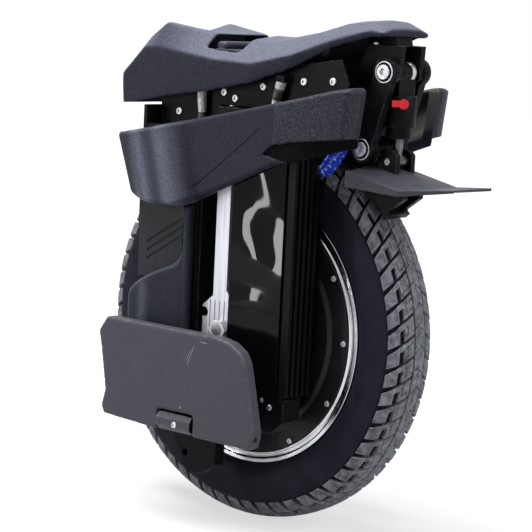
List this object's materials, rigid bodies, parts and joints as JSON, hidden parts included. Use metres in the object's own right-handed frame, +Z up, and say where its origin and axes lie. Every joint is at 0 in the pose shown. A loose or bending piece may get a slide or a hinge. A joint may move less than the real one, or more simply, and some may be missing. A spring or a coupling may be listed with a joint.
{
  "type": "electric unicycle",
  "caption": "Self-balancing electric unicycle: sprung body over one wide tyre, faceted top cover, padded sides, fold-up pedals, mudguard and pull-up handle.",
  "frame": {"origin": "on the ground at the middle of the tyre's contact, straight under the axle", "axes": "+X forward, the way the rider faces; +Y to the rider's left, along the axle; +Z up"},
  "size_m": [0.562, 0.294, 0.648],
  "materials": {
    "tyre_rubber": "matte moulded tread and smooth sidewall",
    "rim_polished": "turned and polished rings",
    "motor_black": "satin black coat",
    "bright_steel": "plain plated steel",
    "stator_core": "varnished core",
    "raw_aluminium": "milled, uncoated",
    "black_anodised": "satin black anodised",
    "box_black": "fine matte",
    "gloss_black": "mirror gloss",
    "cover_charcoal": "fine leather-like grain",
    "panel_grey": "matte, grooved",
    "pad_charcoal": "fine leather-like grain",
    "pedal_grey": "matte powder coat, worn at the rim",
    "guard_grey": "matte sheet",
    "sleeve_blue": "braided sleeve with a sheen",
    "cable_black": "smooth",
    "lead_white": "woven glass sleeve",
    "lever_red": "red anodised",
    "grip_black": "satin",
    "lens_clear": "clear"
  },
  "bodies": {
    "fork": {"axle": "bright_steel", "axle_nuts": "bright_steel", "stator": "stator_core", "fork_leg_left": "raw_aluminium", "fork_leg_right": "raw_aluminium", "fork_bridge": "black_anodised", "fork_stay": "black_anodised", "mudguard": "guard_grey", "shock_shaft": "bright_steel", "shock_pin": "bright_steel"},
    "wheel": {"tyre": "tyre_rubber", "rim": "rim_polished", "motor_cover_left": "motor_black", "motor_cover_right": "motor_black", "wheel_bearings": "bright_steel", "magnet_ring": "bright_steel"},
    "chassis": {"battery_box_left": "box_black", "battery_box_right": "box_black", "battery_lead_left": "cable_black", "battery_lead_right": "cable_black", "cage_arm_left": "black_anodised", "cage_arm_right": "black_anodised", "cage_bolts": "bright_steel", "cage_spacer": "black_anodised", "controller": "box_black", "cover_leads": "lead_white", "deck": "box_black", "front_box_left": "box_black", "front_box_right": "box_black", "front_bulkhead": "box_black", "gloss_panel_left": "gloss_black", "gloss_panel_right": "gloss_black", "grooved_panel_left": "panel_grey", "grooved_panel_right": "panel_grey", "headlamp_body": "box_black", "headlamp_lens": "lens_clear", "hinge_pins": "bright_steel", "instep_pad_left": "pad_charcoal", "instep_pad_right": "pad_charcoal", "lead_sleeve_left": "sleeve_blue", "lead_sleeve_right": "sleeve_blue", "leg_pad_left": "pad_charcoal", "leg_pad_right": "pad_charcoal", "lower_frame_left": "black_anodised", "lower_frame_right": "black_anodised", "pedal_hanger_left": "black_anodised", "pedal_hanger_right": "black_anodised", "shock_can": "black_anodised", "slide_rail_left": "black_anodised", "slide_rail_right": "black_anodised", "tail_plates": "black_anodised", "top_cover": "cover_charcoal", "trolley_guides": "box_black"},
    "pedal_left": {"pedal_left": "pedal_grey"},
    "pedal_right": {"pedal_right": "pedal_grey"},
    "trolley": {"trolley_grip": "grip_black", "trolley_tubes": "bright_steel"},
    "shock_lever": {"shock_lever": "lever_red"},
    "power_button": {"power_button": "box_black"}
  },
  "joints": [
    {"name": "wheel_spin", "type": "hinge", "parent": "fork", "child": "wheel", "pos_m": [0, 0, 0.25], "axis": [0, 1, 0], "continuous": true},
    {"name": "suspension", "type": "slide", "parent": "fork", "child": "chassis", "axis": [0, 0, 1], "range_m": [0, 0.05]},
    {"name": "pedal_left_fold", "type": "hinge", "parent": "chassis", "child": "pedal_left", "pos_m": [0, 0.136, 0.134], "axis": [-1, 0, 0], "range_deg": [-4.5, 90]},
    {"name": "pedal_right_fold", "type": "hinge", "parent": "chassis", "child": "pedal_right", "pos_m": [0, -0.136, 0.134], "axis": [1, 0, 0], "range_deg": [-4.5, 90]},
    {"name": "trolley_pull", "type": "slide", "parent": "chassis", "child": "trolley", "axis": [0, 0, 1], "range_m": [0, 0.22]},
    {"name": "shock_lever_turn", "type": "hinge", "parent": "chassis", "child": "shock_lever", "pos_m": [-0.21695, 0.01895, 0.549], "axis": [0.7071, -0.7071, 0], "range_deg": [-45, 45]},
    {"name": "button_press", "type": "slide", "parent": "chassis", "child": "power_button", "axis": [-1, 0, 0], "range_m": [0, 0.0015], "stiffness_N_per_m": 500, "springref_m": -0.002}
  ]
}
